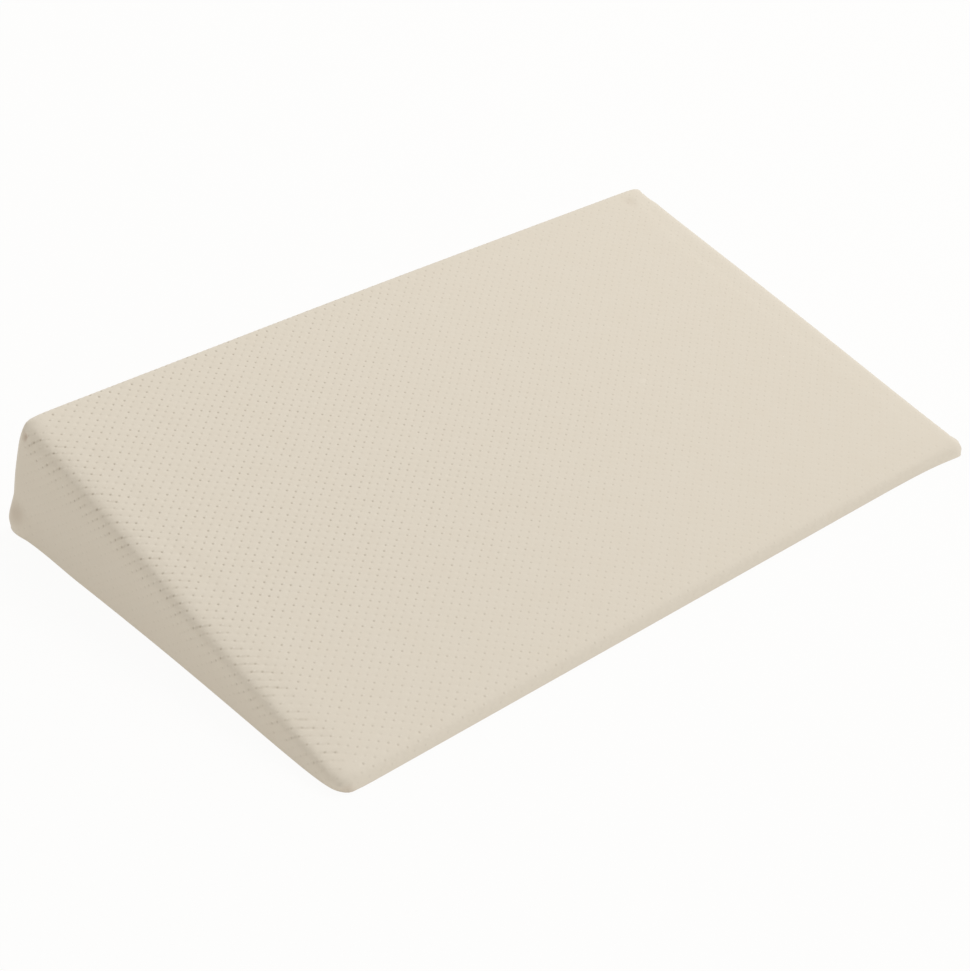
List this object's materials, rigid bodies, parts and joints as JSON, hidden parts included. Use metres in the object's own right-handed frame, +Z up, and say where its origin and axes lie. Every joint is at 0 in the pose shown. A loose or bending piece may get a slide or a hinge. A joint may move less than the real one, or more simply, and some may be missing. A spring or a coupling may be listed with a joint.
{
  "type": "wedge pillow",
  "caption": "Low foam wedge pillow in a close knitted cover: flat base, straight slope from a thin front edge up to a rounded back edge, soft corners.",
  "frame": {"origin": "middle of the flat base, on the surface that the pillow lies on", "axes": "+X along the high back edge, +Y from the thin front edge to the high back, +Z up"},
  "size_m": [0.6022, 0.3567, 0.0925],
  "materials": {
    "knitted_cover": "cream jacquard knit, matt, with a small pitted diamond texture"
  },
  "bodies": {
    "root": {"wedge_pillow": "knitted_cover"}
  },
  "joints": []
}
